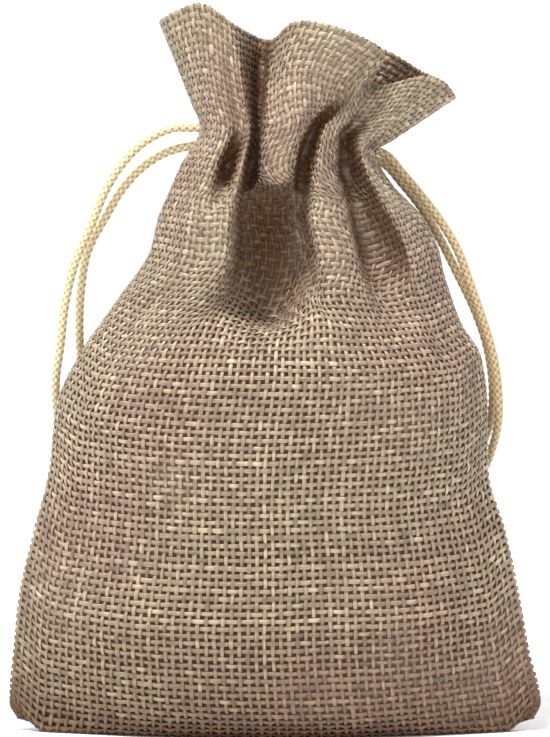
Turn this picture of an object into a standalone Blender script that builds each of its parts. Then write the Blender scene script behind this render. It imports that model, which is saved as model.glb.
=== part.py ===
"""A small burlap favour sack, filled out and standing, with its neck drawn in by two cords.

The sack is one cloth: folded at the bottom, seamed up both sides and open at the top. A place on the
cloth has two measures. Cloth goes round the sack, from the left seam over the front to the right
seam and back behind, and up goes from the bottom fold to the mouth. Millimetres, +Z up, front at -Y.
"""

from collections import namedtuple

import bmesh
import bpy
import numpy as np
from mathutils.bvhtree import BVHTree

MM = 0.001

# Driving dimensions, in millimetres.
PANEL = 100.0  # flat width of the front, and of the back
LENGTH = 149.0  # from the bottom fold up to the mouth
CLOTH_THICK = 1.0
SEAM_ALLOWANCE = 3.5  # two layers sewn together along each side
CORD = 1.7
CORD_STEP = 3.1 * CORD  # between the points of a cord's tube
NECK_UP = 129.0
COLLAR_UP = 112.0
COLLAR_Z = 95.0
NECK_Z = 111.2
THROAT_Z = 104.0
FALL_FROM = 8.0  # right of here the neck and the throat slope down
NECK_FALL = 0.45
THROAT_FALL = 0.25
FLAT_SHARE = 0.86  # share of the width that lies flat on the base
DENTS_FROM = 12.0  # no dent reaches lower, so the base stays flat

# The inner face. Low down it is a smaller pillow, which leaves room for the seams. From
# OFFSET_FROM up it lies square inside the outer face, eased where the pleats are tight.
LIFT_END = 22.0
LIFT_FADE = 12.0
OFFSET_FROM = 60.0
OFFSET_FADE = 16.0
EASE_FROM = 72.0
EASE_FADE = 24.0
RIM_FADE = 8.0
EASE_ROUNDS = 28
HUMP = 0.5  # a dip of this height between neighbours is a valley, which is left uneased

FINE = 240  # steps in the lines that even places are read from

# Sections of the body. Low down the sack is a wide, thin pillow with sharp corners; above its
# fill it is narrow and round. folds is the share of the collar's folds that reaches down to it.
Section = namedtuple("Section", "up z_mid z_seam left right front back round folds")
SECTIONS = (
    Section(0.0, 0.0, 2.2, -47.8, 48.0, 0.0, 0.0, 0.00, 0.00),
    Section(9.0, 0.0, 5.4, -49.3, 49.3, 9.0, 8.5, 0.05, 0.00),
    Section(13.5, 2.4, 8.6, -49.2, 48.9, 12.8, 12.0, 0.10, 0.00),
    Section(20.0, 8.2, 14.6, -48.6, 47.3, 15.0, 14.0, 0.15, 0.00),
    Section(30.0, 18.0, 24.0, -47.5, 45.5, 16.8, 15.6, 0.25, 0.00),
    Section(44.0, 31.8, 37.0, -45.0, 42.8, 18.8, 18.2, 0.40, 0.00),
    Section(56.0, 43.6, 48.5, -42.1, 39.6, 20.3, 19.9, 0.60, 0.00),
    Section(68.0, 55.5, 60.0, -40.6, 39.4, 21.4, 21.0, 0.75, 0.00),
    Section(78.0, 65.3, 69.0, -36.6, 38.2, 21.0, 20.7, 0.80, 0.05),
    Section(86.0, 72.8, 75.5, -32.2, 34.4, 18.6, 19.2, 0.85, 0.14),
    Section(94.0, 79.8, 81.5, -27.9, 32.2, 15.6, 16.8, 0.90, 0.55),
    Section(98.5, 83.5, 84.8, -25.4, 31.2, 14.6, 15.8, 0.92, 0.80),
    Section(103.0, 87.4, 88.5, -23.2, 30.4, 13.8, 15.0, 0.95, 0.95),
    Section(COLLAR_UP, COLLAR_Z, COLLAR_Z, -21.6, 27.3, 12.6, 13.4, 1.00, 1.00),
)

# Folds of the neck, front from left to right, then behind from right to left. Each row is a ridge
# or the valley beside it, and follows one place on the cloth. Its x and y are given on the collar,
# on the throat and on the neck, and its x, y and z on the mouth.
Fold = namedtuple("Fold", "name cloth collar throat neck mouth")
FOLDS = (
    Fold("left_seam", 0.0, (-21.6, 1.0), (-17.7, 0.8), (-14.0, 0.5), (-21.6, 1.0, 130.7)),
    Fold("shoulder", 9.0, (-16.4, -10.4), (-13.6, -9.0), (-11.0, -7.0), (-15.4, -4.8, 133.6)),
    Fold("shoulder_edge", 14.5, (-13.4, -12.6), (-10.6, -9.9), (-8.2, -7.4), (-12.2, -6.8, 133.2)),
    Fold("slit", 19.0, (-10.8, -13.3), (-8.4, -4.2), (-6.6, -6.2), (-9.8, -6.8, 131.9)),
    Fold("thin_ridge", 24.5, (-7.8, -13.4), (-6.0, -10.8), (-4.5, -8.6), (-7.0, -4.6, 130.0)),
    Fold("left_gap", 31.0, (-6.6, -7.0), (-4.2, -2.4), (-3.0, -3.0), (-2.4, 4.4, 127.8)),
    Fold("column_left", 37.0, (-5.2, -1.6), (-2.6, -9.2), (-2.2, -8.8), (-0.6, -2.0, 127.5)),
    Fold("column", 43.5, (-1.6, -0.2), (0.5, -11.4), (1.2, -11.0), (3.4, -7.6, 130.5)),
    Fold("column_right", 50.5, (2.2, -0.8), (3.6, -9.9), (4.4, -10.2), (9.8, -11.0, 129.6)),
    Fold("lobe_edge", 57.0, (4.4, -2.8), (4.2, -5.6), (6.4, -7.4), (15.8, -11.8, 127.2)),
    Fold("crease", 62.0, (5.8, -7.8), (5.5, -4.6), (7.4, -4.2), (20.2, -9.0, 124.2)),
    Fold("soft_ridge", 66.5, (7.0, -13.6), (7.7, -10.4), (9.0, -8.6), (18.8, -4.8, 121.4)),
    Fold("soft_ridge_side", 72.0, (12.4, -12.6), (10.6, -8.6), (11.2, -7.6), (18.4, -3.6, 119.2)),
    Fold("brown_valley", 78.0, (15.6, -4.4), (13.2, -2.6), (12.6, -2.6), (21.4, -7.2, 119.3)),
    Fold("right_ridge", 85.0, (21.2, -10.6), (17.6, -9.2), (15.6, -7.1), (26.4, -9.4, 120.3)),
    Fold("right_nook", 92.0, (24.8, -5.2), (20.0, -4.0), (16.8, -2.4), (30.8, -7.4, 119.0)),
    Fold("right_seam", 100.0, (27.3, 1.0), (21.9, 0.8), (18.7, 0.6), (33.4, -2.6, 116.2)),
    Fold("back_nook", 107.5, (24.6, 5.6), (19.3, 3.9), (15.0, 2.6), (31.4, 2.4, 118.9)),
    Fold("back_ridge_1", 115.0, (20.2, 10.6), (17.5, 8.7), (15.4, 7.2), (27.6, 7.4, 121.4)),
    Fold("back_valley_1", 123.5, (15.2, 10.2), (13.3, 6.9), (11.8, 4.4), (21.8, 6.0, 124.8)),
    Fold("back_ridge_2", 132.5, (10.6, 14.2), (9.7, 11.9), (9.0, 10.0), (15.4, 11.2, 127.4)),
    Fold("back_valley_2", 141.5, (6.0, 11.2), (6.0, 8.5), (6.0, 6.4), (9.8, 7.2, 127.8)),
    Fold("back_ridge_3", 150.5, (1.2, 14.8), (1.9, 12.6), (2.4, 10.8), (4.2, 12.6, 128.6)),
    Fold("back_valley_3", 159.5, (-3.6, 11.2), (-1.9, 8.5), (-0.6, 6.4), (-1.6, 8.4, 127.4)),
    Fold("back_ridge_4", 168.5, (-8.2, 13.6), (-6.0, 11.5), (-4.2, 9.8), (-7.0, 11.8, 129.6)),
    Fold("back_valley_4", 177.5, (-12.4, 9.8), (-9.2, 6.6), (-6.6, 4.4), (-10.8, 6.2, 129.2)),
    Fold("back_ridge_5", 186.0, (-16.2, 9.4), (-12.9, 8.4), (-10.2, 7.6), (-16.0, 8.6, 131.2)),
    Fold("left_nook", 193.5, (-19.2, 5.4), (-14.4, 4.0), (-10.6, 2.8), (-18.8, 4.4, 130.4)),
)

# Rings above the collar, each a mix of the collar's, the throat's, the neck's and the mouth's.
Ring = namedtuple("Ring", "name up collar throat neck mouth")
RINGS = (
    Ring("under", 115.5, 0.69, 0.31, 0.0, 0.0),
    Ring("roll", 118.0, 0.42, 0.58, 0.0, 0.0),
    Ring("throat", 121.5, 0.0, 1.0, 0.0, 0.0),
    Ring("neck", NECK_UP, 0.0, 0.0, 1.0, 0.0),
    Ring("heading_low", NECK_UP + 4.0, 0.0, 0.0, 0.8, 0.2),
    Ring("heading", NECK_UP + 11.0, 0.0, 0.0, 0.46, 0.54),
    Ring("mouth", LENGTH, 0.0, 0.0, 0.0, 1.0),
)

# The middle fold hangs free in front of the hollow, and rolls under at these points.
Roll = namedtuple("Roll", "ring fold x y z")
ROLLS = (
    Roll("roll", "column_left", -2.5, -9.2, 101.4),
    Roll("roll", "column", 0.4, -11.3, 100.4),
    Roll("roll", "column_right", 3.2, -9.9, 101.4),
    Roll("under", "column_left", -3.6, -3.4, 98.6),
    Roll("under", "column", -0.6, -3.6, 98.6),
    Roll("under", "column_right", 2.6, -3.4, 98.6),
)

# Soft dents in the cloth, positive inward, each fading over its own half-width and half-height.
Dent = namedtuple("Dent", "name cloth up wide tall depth")
DENTS = (
    Dent("pocket", 46.0, 96.0, 6.5, 6.0, 5.3),
    Dent("pocket_left", 29.5, 91.0, 7.0, 6.5, -1.8),
    Dent("pocket_right", 61.0, 91.0, 6.5, 6.5, -2.0),
    Dent("belly_shelf", 42.0, 80.0, 20.0, 6.0, -1.8),
    Dent("brown_hollow", 79.0, 104.0, 5.5, 8.0, 1.6),
    Dent("belly_groove", 61.0, 44.0, 9.0, 26.0, 1.7),
    Dent("waist", 38.0, 50.0, 34.0, 13.0, 1.0),
    Dent("left_low_swell", 22.0, 32.0, 16.0, 7.0, -1.4),
    Dent("right_low_swell", 78.0, 34.0, 14.0, 8.0, -1.2),
    Dent("back_hollow", 152.0, 96.0, 16.0, 12.0, 1.6),
)

# Creases pulled down from the neck, positive inward, from one place on the cloth to another.
Crease = namedtuple("Crease", "name cloth_top up_top cloth_end up_end wide depth")
CREASES = (
    Crease("left_shoulder", 17.0, 108.0, 8.0, 84.0, 3.0, 0.8),
    Crease("right_inner", 66.0, 110.0, 66.0, 84.0, 3.2, -0.8),
    Crease("right_shoulder", 80.0, 108.0, 90.0, 80.0, 3.4, 1.0),
    Crease("back_left", 172.0, 106.0, 184.0, 78.0, 3.4, 0.9),
    Crease("back_right", 130.0, 106.0, 117.0, 78.0, 3.4, 0.9),
)

# Places of the mesh's rows up the cloth, closer at the base's edge and in the neck.
ROWS = (
    0.0, 9.0, 11.2, 14.2, 20.0, 29.0, 40.0, 51.0, 61.5, 70.5, 78.5, 85.0, 89.5, 93.0, 96.5,
    100.5, 104.5, 108.5, 112.0, 115.5, 118.0, 121.5, 125.0, 129.0, 133.0, 137.5, 142.0, 145.8, LENGTH,
)  # fmt: skip
PANEL_COLUMNS = 52


def smooth_step(share):
    share = np.clip(share, 0.0, 1.0)
    return share * share * (3.0 - 2.0 * share)


def even(points, count):
    """Points spaced evenly along a line given by many points."""
    steps = np.linalg.norm(np.diff(points, axis=0), axis=1)
    along = np.concatenate(([0.0], np.cumsum(steps)))
    wanted = np.linspace(0.0, along[-1], count)
    return np.stack([np.interp(wanted, along, points[:, axis]) for axis in range(3)], axis=1)


def slopes(places, values):
    """Slopes for a curve that never swings past its own points."""
    steps = np.diff(places)
    rises = np.diff(values, axis=0) / steps.reshape(-1, *[1] * (values.ndim - 1))
    found = np.zeros_like(values)
    product = rises[:-1] * rises[1:]
    total = rises[:-1] + rises[1:]
    safe = np.where(product > 0.0, total, 1.0)
    found[1:-1] = np.where(product > 0.0, 2.0 * product / safe, 0.0)
    found[0] = rises[0]
    found[-1] = rises[-1]
    return found


def curve(places, values, wanted, tangents):
    """A smooth curve through values at places, read at one wanted place."""
    index = int(np.clip(np.searchsorted(places, wanted, side="right") - 1, 0, len(places) - 2))
    step = places[index + 1] - places[index]
    t = (wanted - places[index]) / step
    start = (1.0 + 2.0 * t) * (1.0 - t) ** 2 * values[index]
    end = t * t * (3.0 - 2.0 * t) * values[index + 1]
    leave = t * (1.0 - t) ** 2 * step * tangents[index]
    arrive = -t * t * (1.0 - t) * step * tangents[index + 1]
    return start + end + leave + arrive


def round_curve(places, values, wanted, period):
    """A smooth closed curve through values at places, read at many wanted places."""
    places = np.concatenate((places[-2:] - period, places, places[:3] + period))
    values = np.concatenate((values[-2:], values, values[:3]))
    wide = (places[2:] - places[:-2]).reshape(-1, 1)
    tangents = np.zeros_like(values)
    tangents[1:-1] = (values[2:] - values[:-2]) / wide
    return np.array([curve(places, values, place, tangents) for place in wanted])


def cloth_places(columns):
    """Even places round the cloth, in millimetres from the left seam."""
    return np.arange(2 * columns) * PANEL / columns


def section_ring(section, columns, inset):
    """One smooth closed section: front from left to right, then behind from right to left."""
    turn = np.linspace(0.0, np.pi, FINE + 1)
    across = (1.0 - section.round) * (2.0 * turn / np.pi - 1.0) - section.round * np.cos(turn)
    seam_inset = SEAM_ALLOWANCE * inset
    left = section.left + seam_inset
    right = section.right - seam_inset
    x = 0.5 * (left + right) + 0.5 * (right - left) * across
    toward_seam = smooth_step((np.abs(across) - FLAT_SHARE) / (1.0 - FLAT_SHARE))
    sagging = 0.5 * (np.abs(across) ** 2.5 + toward_seam)
    rise = toward_seam if section.z_mid == 0.0 else sagging
    z = section.z_mid + (section.z_seam - section.z_mid) * rise
    z = z + CLOTH_THICK * inset * np.clip((LIFT_END - section.up) / LIFT_FADE, 0.0, 1.0)
    halves = []
    for depth, side in ((section.front, -1.0), (section.back, 1.0)):
        inner = max(depth - CLOTH_THICK * inset, 0.0)
        y = side * inner * np.sin(turn)
        halves.append(even(np.stack([x, y, z], axis=1), columns + 1))
    front, back = halves
    return np.concatenate((front[:-1], back[::-1][:-1]))


def fall(x, top, slope):
    """Height of a ring that slopes down to the right of FALL_FROM."""
    return top - slope * np.clip(x - FALL_FROM, 0.0, None)


def fold_points(ring):
    """The folds' own points on the collar, the throat, the neck or the mouth."""
    points = np.array([getattr(fold, ring) for fold in FOLDS])
    if ring == "mouth":
        return points
    height = {
        "collar": fall(points[:, 0], COLLAR_Z, 0.0),
        "throat": fall(points[:, 0], THROAT_Z, THROAT_FALL),
        "neck": fall(points[:, 0], NECK_Z, NECK_FALL),
    }[ring]
    return np.column_stack((points, height))


def ring_through(points, columns):
    """A smooth closed ring through a point for each fold."""
    places = np.array([fold.cloth for fold in FOLDS])
    return round_curve(places, points, cloth_places(columns), 2.0 * PANEL)


def key_rings(columns, inset):
    """The rings that the cloth is drawn through, with their places up the cloth."""
    collar, throat, neck, mouth = (fold_points(ring) for ring in ("collar", "throat", "neck", "mouth"))
    folds = ring_through(collar, columns) - section_ring(SECTIONS[-1], columns, 0.0)
    ups = [section.up for section in SECTIONS]
    rings = []
    for section in SECTIONS:
        ring = section_ring(section, columns, inset if section.folds < 1.0 else 0.0)
        rings.append(ring + section.folds * folds)
    names = [fold.name for fold in FOLDS]
    for ring in RINGS:
        points = ring.collar * collar + ring.throat * throat + ring.neck * neck + ring.mouth * mouth
        for roll in ROLLS:
            if roll.ring == ring.name:
                points[names.index(roll.fold)] = (roll.x, roll.y, roll.z)
        ups.append(ring.up)
        rings.append(ring_through(points, columns))
    return np.array(ups), np.array(rings)


def push(cloth, up):
    """How far the dents and creases move the cloth inward at each place."""
    total = np.zeros(np.broadcast(cloth, up).shape)
    for dent in DENTS:
        side = (cloth - dent.cloth + PANEL) % (2.0 * PANEL) - PANEL
        total += dent.depth * np.exp(-((side / dent.wide) ** 2) - ((up - dent.up) / dent.tall) ** 2)
    for crease in CREASES:
        run = np.array([crease.cloth_end - crease.cloth_top, crease.up_end - crease.up_top])
        size = np.linalg.norm(run)
        run = run / size
        along = (cloth - crease.cloth_top) * run[0] + (up - crease.up_top) * run[1]
        off = (cloth - crease.cloth_top) * run[1] - (up - crease.up_top) * run[0]
        fade = np.exp(-(((along - 0.5 * size) / (0.42 * size)) ** 4))
        total += crease.depth * fade * np.exp(-((off / crease.wide) ** 2))
    return total * smooth_step((up - DENTS_FROM) / DENTS_FROM)


def facing(grid):
    """Outward directions of a grid whose columns close round the sack."""
    round_step = np.roll(grid, -1, axis=1) - np.roll(grid, 1, axis=1)
    up_step = np.gradient(grid, axis=0)
    found = np.cross(round_step, up_step)
    length = np.linalg.norm(found, axis=2, keepdims=True)
    return found / np.maximum(length, 1e-9)


def skin(ups, columns, inset):
    """A smooth grid on the outer face of the cloth (inset 0), or on the inner one (inset 1)."""
    stations, rings = key_rings(columns, inset)
    tangents = slopes(stations, rings)
    return np.array([curve(stations, rings, up, tangents) for up in ups])


def quads(rows, wide):
    """Corner numbers of the quads in a grid of points whose rows close round the sack."""
    low = np.arange((rows - 1) * wide).reshape(-1, wide)
    ahead = np.roll(low, -1, axis=1)
    return np.stack((low, ahead, ahead + wide, low + wide), axis=-1).reshape(-1, 4)


def eased_inside(outer, out, inner, tight):
    """The inner face, eased where a fold is too sharp for it, and kept off the outer face."""
    faces = quads(*outer.shape[:2])
    wall = BVHTree.FromPolygons(outer.reshape(-1, 3).tolist(), faces.tolist())
    sides = out.reshape(-1, 3)[faces].mean(axis=1)
    sides /= np.linalg.norm(sides, axis=1, keepdims=True)
    eased = np.argwhere(tight[:, 0, 0] > 0.0).ravel()
    neighbours = 0.5 * (np.roll(outer, 1, axis=1) + np.roll(outer, -1, axis=1))
    hump = np.sum((outer - neighbours) * out, axis=2)
    tight = tight * smooth_step(1.0 + hump / HUMP)[..., None]
    for _ in range(EASE_ROUNDS):
        middle = 0.5 * (np.roll(inner, 1, axis=1) + np.roll(inner, -1, axis=1))
        inner = inner + 0.5 * tight * (middle - inner)
        for row in eased:
            for column, point in enumerate(inner[row]):
                nearest, _, face, _ = wall.find_nearest(point.tolist())
                side = sides[face]
                depth = np.dot(np.array(nearest) - point, side)
                inner[row, column] -= max(CLOTH_THICK - depth, 0.0) * side
    return inner


def sack_skins(ups, columns):
    """The outer and inner faces of the cloth as two grids, up by round."""
    cloth = cloth_places(columns).reshape(1, -1)
    heights = np.array(ups).reshape(-1, 1)
    smooth = skin(ups, columns, 0.0)
    moved = push(cloth, heights)[..., None] * facing(smooth)
    outer = smooth - moved
    out = facing(outer)
    low_inner = skin(ups, columns, 1.0) - moved
    pleated = smooth_step((heights - OFFSET_FROM) / OFFSET_FADE)[..., None]
    inner = (1.0 - pleated) * low_inner + pleated * (outer - CLOTH_THICK * out)
    tight = smooth_step((heights - EASE_FROM) / EASE_FADE)
    tight = tight * smooth_step((LENGTH + 1.0 - heights) / RIM_FADE)
    return outer, eased_inside(outer, out, inner, tight[..., None])


# Routes of the drawcords, from the neck's side out, down and behind the sack to the knot.
# Each row is a place that a strand passes through: x, y, z.
ROUTES = {
    "cord_left_outer": (
        (-14.9, 0.5, 111.0), (-18.6, 0.3, 110.9), (-24.2, 0.3, 108.2), (-28.3, 0.6, 104.0),
        (-30.9, 0.8, 99.9), (-33.7, 1.0, 93.2), (-36.8, 1.2, 86.0), (-38.6, 1.6, 78.5),
        (-39.5, 2.4, 71.2), (-40.5, 4.0, 63.9), (-40.2, 6.9, 57.5), (-38.2, 10.4, 51.2),
        (-35.1, 12.5, 44.9),
    ),
    "cord_left_inner": (
        (-15.7, 1.8, 107.6), (-20.2, 2.6, 106.4), (-24.8, 2.8, 103.4), (-28.2, 3.0, 99.6),
        (-31.2, 3.1, 94.6), (-34.4, 3.4, 88.6), (-35.8, 4.2, 81.0), (-36.2, 6.2, 74.0),
        (-36.0, 9.4, 67.0), (-35.4, 11.8, 59.5), (-34.0, 13.2, 52.0), (-32.8, 13.4, 45.2),
    ),
    "cord_right_outer": (
        (20.05, 0.3, 106.2), (23.4, 0.2, 102.6), (26.9, 0.0, 98.4), (30.4, 0.0, 93.8),
        (33.4, 0.3, 88.8), (35.6, 0.6, 83.0), (37.9, 0.9, 76.5), (39.9, 1.2, 70.0),
        (41.0, 1.8, 63.5), (41.2, 3.2, 57.2), (40.1, 6.4, 51.2), (38.0, 9.6, 45.6),
        (35.3, 11.2, 40.1),
    ),
    "cord_right_inner": (
        (19.7, 2.6, 104.6), (23.4, 3.4, 100.8), (27.6, 3.5, 95.4), (30.9, 3.2, 89.6),
        (33.4, 2.9, 84.6), (36.6, 3.2, 78.0), (39.0, 3.6, 71.2), (40.2, 4.6, 63.5),
        (40.0, 6.8, 57.0), (38.0, 9.9, 51.0), (35.2, 11.9, 45.6), (32.9, 12.1, 40.4),
    ),
}  # fmt: skip

# A knot ties the two strands of a side together; its tails hang below it.
Knot = namedtuple("Knot", "name x y z")
KNOTS = (
    Knot("knot_left", -34.0, 13.3, 41.2),
    Knot("knot_right", 34.1, 12.0, 36.4),
)
KNOT_WIDE = 5.6
KNOT_TALL = 7.2
TAIL = 7.0
TAIL_SUNK = 1.2
TAIL_LEAN = 0.28
RIDGE = 0.09  # height of the turns on a knot, as a share of its radius

CLOTH_COLOUR = "b5a284"
CORD_COLOUR = "e6d6ae"


def clear_scene():
    for thing in list(bpy.data.objects):
        bpy.data.objects.remove(thing, do_unlink=True)


def linear_colour(code):
    """A colour code as linear red, green, blue and alpha."""
    parts = [int(code[i : i + 2], 16) / 255.0 for i in (0, 2, 4)]
    linear = [c / 12.92 if c <= 0.04045 else ((c + 0.055) / 1.055) ** 2.4 for c in parts]
    return (*linear, 1.0)


def make_material(name, code, roughness):
    material = bpy.data.materials.new(name)
    material.use_nodes = True
    shader = material.node_tree.nodes["Principled BSDF"]
    shader.inputs["Base Color"].default_value = linear_colour(code)
    shader.inputs["Roughness"].default_value = roughness
    shader.inputs["Metallic"].default_value = 0.0
    return material


def add_object(name, data, material):
    thing = bpy.data.objects.new(name, data)
    data.materials.append(material)
    bpy.context.scene.collection.objects.link(thing)
    return thing


def add_skin(shape, grid, columns, outward):
    """Adds one face of the cloth. Front and back share the points of the bottom fold."""
    wide = 2 * columns
    rows = []
    for row, line in enumerate(grid):
        points = [shape.verts.new(point * MM) for point in line[: columns + 1 if row == 0 else wide]]
        if row == 0:
            points += points[columns - 1 : 0 : -1]
        rows.append(points)
    for low, high in zip(rows[:-1], rows[1:]):
        for j in range(wide):
            k = (j + 1) % wide
            corners = [low[j], low[k], high[k], high[j]]
            shape.faces.new(corners if outward else corners[::-1])
    return rows[-1]


def make_sack(material):
    """The cloth as one closed body: an outer face and an inner one, joined round the mouth."""
    outer, inner = sack_skins(ROWS, PANEL_COLUMNS)
    shape = bmesh.new()
    outer_rim = add_skin(shape, outer, PANEL_COLUMNS, True)
    inner_rim = add_skin(shape, inner, PANEL_COLUMNS, False)
    for j in range(len(outer_rim)):
        k = (j + 1) % len(outer_rim)
        shape.faces.new([outer_rim[j], outer_rim[k], inner_rim[k], inner_rim[j]])
    bmesh.ops.triangulate(shape, faces=shape.faces[:])
    mesh = bpy.data.meshes.new("sack_cloth")
    shape.to_mesh(mesh)
    shape.free()
    mesh.shade_smooth()
    return add_object("sack_cloth", mesh, material)


def route_points(route, step):
    """Evenly spaced points on a smooth curve through a cord's route."""
    values = np.array(route)
    places = np.concatenate(([0.0], np.cumsum(np.linalg.norm(np.diff(values, axis=0), axis=1))))
    tangents = np.gradient(values, places, axis=0)
    fine = np.array([curve(places, values, at, tangents) for at in np.linspace(0.0, places[-1], FINE)])
    return even(fine, int(round(places[-1] / step)) + 1)


def make_cord(name, route, material):
    line = bpy.data.curves.new(name, "CURVE")
    line.dimensions = "3D"
    line.bevel_depth = 0.5 * CORD * MM
    line.bevel_resolution = 2
    line.use_fill_caps = True
    points = route_points(route, CORD_STEP)
    spline = line.splines.new("POLY")
    spline.points.add(len(points) - 1)
    for place, point in zip(spline.points, points):
        place.co = (*(point * MM), 1.0)
    return add_object(name, line, material)


def make_tail(knot, side, material):
    """A cut end below the knot, which the knot takes in."""
    mesh = bpy.data.meshes.new(f"{knot.name}_tail")
    shape = bmesh.new()
    bmesh.ops.create_cone(
        shape,
        cap_ends=True,
        segments=8,
        radius1=0.5 * CORD * MM,
        radius2=0.5 * CORD * MM,
        depth=TAIL * MM,
    )
    shape.to_mesh(mesh)
    shape.free()
    tail = add_object(f"{knot.name}_tail", mesh, material)
    drop = 0.5 * KNOT_TALL + 0.5 * TAIL - TAIL_SUNK
    tail.rotation_euler = (0.0, side * TAIL_LEAN, 0.0)
    tail.location = ((knot.x - side * CORD) * MM, knot.y * MM, (knot.z - drop) * MM)
    tail.hide_render = True
    tail.display_type = "WIRE"
    return tail


def make_knot(knot, material):
    """The lump of an overhand knot, with its turns as shallow slanting ridges."""
    mesh = bpy.data.meshes.new(knot.name)
    shape = bmesh.new()
    bmesh.ops.create_uvsphere(shape, u_segments=18, v_segments=10, radius=1.0)
    for vert in shape.verts:
        turn = np.arctan2(vert.co.y, vert.co.x)
        ridge = 1.0 + RIDGE * (1.0 - vert.co.z**2) * np.cos(3.0 * turn + 4.0 * vert.co.z)
        vert.co.x *= ridge * 0.5 * KNOT_WIDE * MM
        vert.co.y *= ridge * 0.5 * KNOT_WIDE * MM
        vert.co.z *= 0.5 * KNOT_TALL * MM
    shape.to_mesh(mesh)
    shape.free()
    mesh.shade_smooth()
    lump = add_object(knot.name, mesh, material)
    lump.location = (knot.x * MM, knot.y * MM, knot.z * MM)
    for side in (-1.0, 1.0):
        join = lump.modifiers.new("tail", "BOOLEAN")
        join.operation = "UNION"
        join.object = make_tail(knot, side, material)
    return lump


def main():
    clear_scene()
    burlap = make_material("burlap", CLOTH_COLOUR, 0.75)
    braid = make_material("cord_braid", CORD_COLOUR, 0.6)
    make_sack(burlap)
    for name, route in ROUTES.items():
        make_cord(name, route, braid)
    for knot in KNOTS:
        make_knot(knot, braid)


main()
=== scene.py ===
# %% [markdown]
# # A small burlap favour sack
# This lesson dresses a plain model of a small drawstring sack. The real one is a single cloth of
# flat tape yarns in a plain weave, folded at the bottom, sewn up both sides and doubled over at the
# mouth. Two braided cords draw in its neck, so the cloth above it flares into a ruffle. The plain
# model gives every size and place. Everything here is built around it, in the same frame.

# %% Load the plain model
import math
from collections import namedtuple

import bpy
import numpy as np
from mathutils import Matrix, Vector
from mathutils.bvhtree import BVHTree


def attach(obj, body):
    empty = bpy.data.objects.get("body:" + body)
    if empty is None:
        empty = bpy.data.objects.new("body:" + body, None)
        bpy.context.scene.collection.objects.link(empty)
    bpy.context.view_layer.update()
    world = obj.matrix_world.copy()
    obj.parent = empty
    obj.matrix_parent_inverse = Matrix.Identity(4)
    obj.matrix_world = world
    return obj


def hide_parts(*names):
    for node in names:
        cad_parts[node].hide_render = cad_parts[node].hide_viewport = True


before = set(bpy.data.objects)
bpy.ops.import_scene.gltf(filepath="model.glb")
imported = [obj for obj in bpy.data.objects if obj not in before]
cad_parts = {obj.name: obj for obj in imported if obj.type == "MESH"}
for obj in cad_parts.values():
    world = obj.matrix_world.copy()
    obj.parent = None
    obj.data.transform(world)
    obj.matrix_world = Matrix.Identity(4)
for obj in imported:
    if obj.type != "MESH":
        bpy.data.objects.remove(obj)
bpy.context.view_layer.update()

MM = 0.001

# %% [markdown]
# ## Camera
# The sack is seen straight from the front by a camera a little above its middle. A long lens from
# 0.7 m keeps the sides of the sack almost parallel, as they are in a catalogue picture. The lens is
# worked out from the size that one millimetre should take in the picture, which is easier than
# trying values until the sack fits.

# %% Set up the camera
PICTURE_WIDE = 550.0  # pixels
PIXELS_PER_MM = 5.45
SENSOR = 36.0
CAMERA_FAR = 0.7  # metres from the middle of the picture
CAMERA_RISE = math.radians(3.0)
LOOK_AT = Vector((0.0, 0.0, 0.0669))

camera_data = bpy.data.cameras.new("camera")
camera_data.sensor_fit = "HORIZONTAL"
camera_data.sensor_width = SENSOR
camera_data.lens = SENSOR * CAMERA_FAR / (PICTURE_WIDE / PIXELS_PER_MM * MM)
camera_data.clip_start = 0.05
camera = bpy.data.objects.new("camera", camera_data)
bpy.context.scene.collection.objects.link(camera)
toward_camera = Vector((0.0, -math.cos(CAMERA_RISE), math.sin(CAMERA_RISE)))
camera.location = LOOK_AT + CAMERA_FAR * toward_camera
camera.rotation_euler = (LOOK_AT - camera.location).to_track_quat("-Z", "Y").to_euler()
bpy.context.scene.camera = camera
print("lens in mm:", round(camera_data.lens, 1))

# %% [markdown]
# ## Helpers for meshes and finishes
# Yarn and cord repeat thousands of times, so their points come from formulas and go into a mesh as
# arrays. That is quicker than modelling one and copying it, and each yarn can differ a little.
# One function adds a shader node with its settings and links, so that a finish reads as a list.

# %% Colours and nodes
def linear(code):
    """An sRGB hex colour as the linear values that a shader works in."""
    parts = [int(code[i : i + 2], 16) / 255.0 for i in (0, 2, 4)]
    return (*[c / 12.92 if c <= 0.04045 else ((c + 0.055) / 1.055) ** 2.4 for c in parts], 1.0)


def join(node, links):
    """Links sockets into the inputs of a node, by their names."""
    for key, socket in dict(links).items():
        node.id_data.links.new(socket, node.inputs[key])


def add_node(material, kind, values=(), links=(), **settings):
    """Adds a shader node, with its own settings, its socket values and the links into it."""
    node = material.node_tree.nodes.new(kind)
    for key, value in settings.items():
        setattr(node, key, value)
    for key, value in dict(values).items():
        node.inputs[key].default_value = value
    join(node, links)
    return node


def new_material(name, values):
    """A material and its shader, with the values that stay the same all over."""
    material = bpy.data.materials.new(name)
    material.use_nodes = True
    shader = material.node_tree.nodes["Principled BSDF"]
    for key, value in values.items():
        shader.inputs[key].default_value = value
    return material, shader


def stored(material, title):
    """A value that was stored at the points of a mesh."""
    return add_node(material, "ShaderNodeAttribute", attribute_name=title).outputs["Fac"]


def noise(material, place, values):
    return add_node(material, "ShaderNodeTexNoise", values, {"Vector": place}).outputs["Fac"]


def spread(material, value, low, high, start=0.0, end=1.0):
    """A value that runs from start to end, stretched to run from low to high."""
    values = {"From Min": start, "From Max": end, "To Min": low, "To Max": high}
    return add_node(material, "ShaderNodeMapRange", values, {"Value": value}).outputs["Result"]


def bump(material, strength, height, value):
    values = {"Strength": strength, "Distance": height * MM}
    return add_node(material, "ShaderNodeBump", values, {"Height": value}).outputs["Normal"]


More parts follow.
